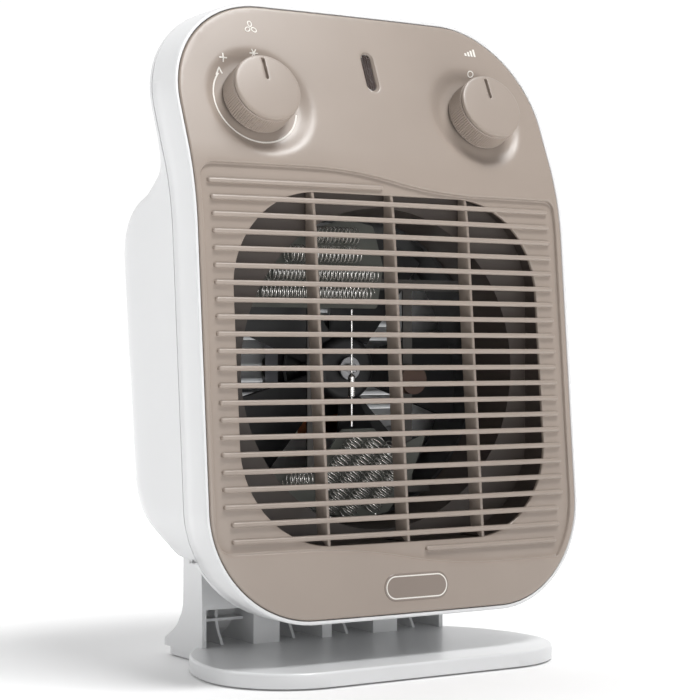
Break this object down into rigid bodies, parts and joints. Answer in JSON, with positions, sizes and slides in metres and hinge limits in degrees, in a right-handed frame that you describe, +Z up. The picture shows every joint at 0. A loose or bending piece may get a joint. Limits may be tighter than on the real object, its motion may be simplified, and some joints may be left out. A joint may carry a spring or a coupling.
{
  "type": "fan heater",
  "caption": "Upright tabletop fan heater with a slatted outlet grille, two rotary controls, a power lamp, open wire elements and a fan, on a hollow-necked foot",
  "frame": {"origin": "on the floor, under the middle of the overall box", "axes": "+Z up; the grille and knobs face -Y; +X is to the right seen from the front"},
  "size_m": [0.2288, 0.142, 0.3469],
  "materials": {
    "taupe_plastic": "satin moulded taupe plastic",
    "badge_plastic": "blank oval badge, smooth",
    "white_plastic": "satin white moulded plastic",
    "grey_plastic": "soft grey bush",
    "foot_rubber": "matt rubber",
    "zinc_steel": "zinc plated",
    "duct_plastic": "matt dark heat-resistant moulding",
    "sheet_steel": "galvanised sheet",
    "mica": "mica board, pale grey-green",
    "resistance_wire": "bare resistance wire",
    "cutout_phenolic": "brown phenolic",
    "fuse_metal": "drawn metal case",
    "black_plastic": "matt black",
    "fan_plastic": "matt black heat-resistant moulding",
    "spring_steel": "spring steel",
    "bright_steel": "ground steel",
    "rotor_metal": "cast rotor",
    "sintered_bronze": "oiled sintered bronze",
    "lamination_steel": "stacked laminations",
    "bobbin_plastic": "natural nylon",
    "copper_wire": "enamelled copper",
    "knob_plastic": "satin taupe plastic, knurled skirt",
    "spindle_plastic": "natural acetal",
    "cam_plastic": "moulded cam",
    "switch_plastic": "black switch case",
    "tinned_brass": "tinned brass tabs",
    "ceramic": null,
    "bimetal": "bimetal strip",
    "lens_smoke": "dark smoked window",
    "lamp_glass": "neon bulb",
    "lamp_rubber": "silicone sleeve"
  },
  "bodies": {
    "housing": {"front_panel": "taupe_plastic", "badge_plate": "badge_plastic", "front_ring": "white_plastic", "rear_shell": "white_plastic", "cord_inlet": "grey_plastic", "base_stand": "white_plastic", "rubber_feet": "foot_rubber", "housing_screws": "zinc_steel", "duct_screws": "zinc_steel", "stand_screws": "zinc_steel", "shroud_screws": "zinc_steel", "heater_duct": "duct_plastic", "element_frame": "sheet_steel", "mica_board_upper": "mica", "mica_board_lower": "mica", "heating_coil_upper": "resistance_wire", "heating_coil_lower": "resistance_wire", "thermal_cutout": "cutout_phenolic", "thermal_fuse": "fuse_metal", "link_wires": "resistance_wire", "fan_shroud": "black_plastic", "bearing_front": "sintered_bronze", "bearing_rear": "sintered_bronze", "motor_core": "lamination_steel", "motor_bobbin": "bobbin_plastic", "motor_winding": "copper_wire", "motor_bracket_front": "sheet_steel", "motor_bracket_rear": "sheet_steel", "motor_screws": "zinc_steel", "selector_switch": "switch_plastic", "selector_contacts": "tinned_brass", "thermostat_base": "ceramic", "thermostat_bimetal": "bimetal", "thermostat_nut": "zinc_steel", "selector_nut": "zinc_steel", "indicator_lens": "lens_smoke", "neon_lamp": "lamp_glass", "lamp_holder": "lamp_rubber", "terminal_block": "ceramic"},
    "fan": {"fan_impeller": "fan_plastic", "fan_clip": "spring_steel", "motor_shaft": "bright_steel", "motor_rotor": "rotor_metal"},
    "thermostat_control": {"thermostat_knob": "knob_plastic", "thermostat_spindle": "spindle_plastic"},
    "selector_control": {"selector_knob": "knob_plastic", "selector_spindle": "spindle_plastic", "selector_cam": "cam_plastic"}
  },
  "joints": [
    {"name": "fan_spin", "type": "hinge", "parent": "housing", "child": "fan", "pos_m": [0, 0.01, 0.156], "axis": [0, -1, 0], "continuous": true},
    {"name": "thermostat_turn", "type": "hinge", "parent": "housing", "child": "thermostat_control", "pos_m": [-0.0695, -0.01668, 0.2924], "axis": [0, 0.9219, -0.3875], "range_deg": [0, 270]},
    {"name": "selector_turn", "type": "hinge", "parent": "housing", "child": "selector_control", "pos_m": [0.0695, -0.01668, 0.2924], "axis": [0, 0.9219, -0.3875], "range_deg": [0, 135]}
  ]
}
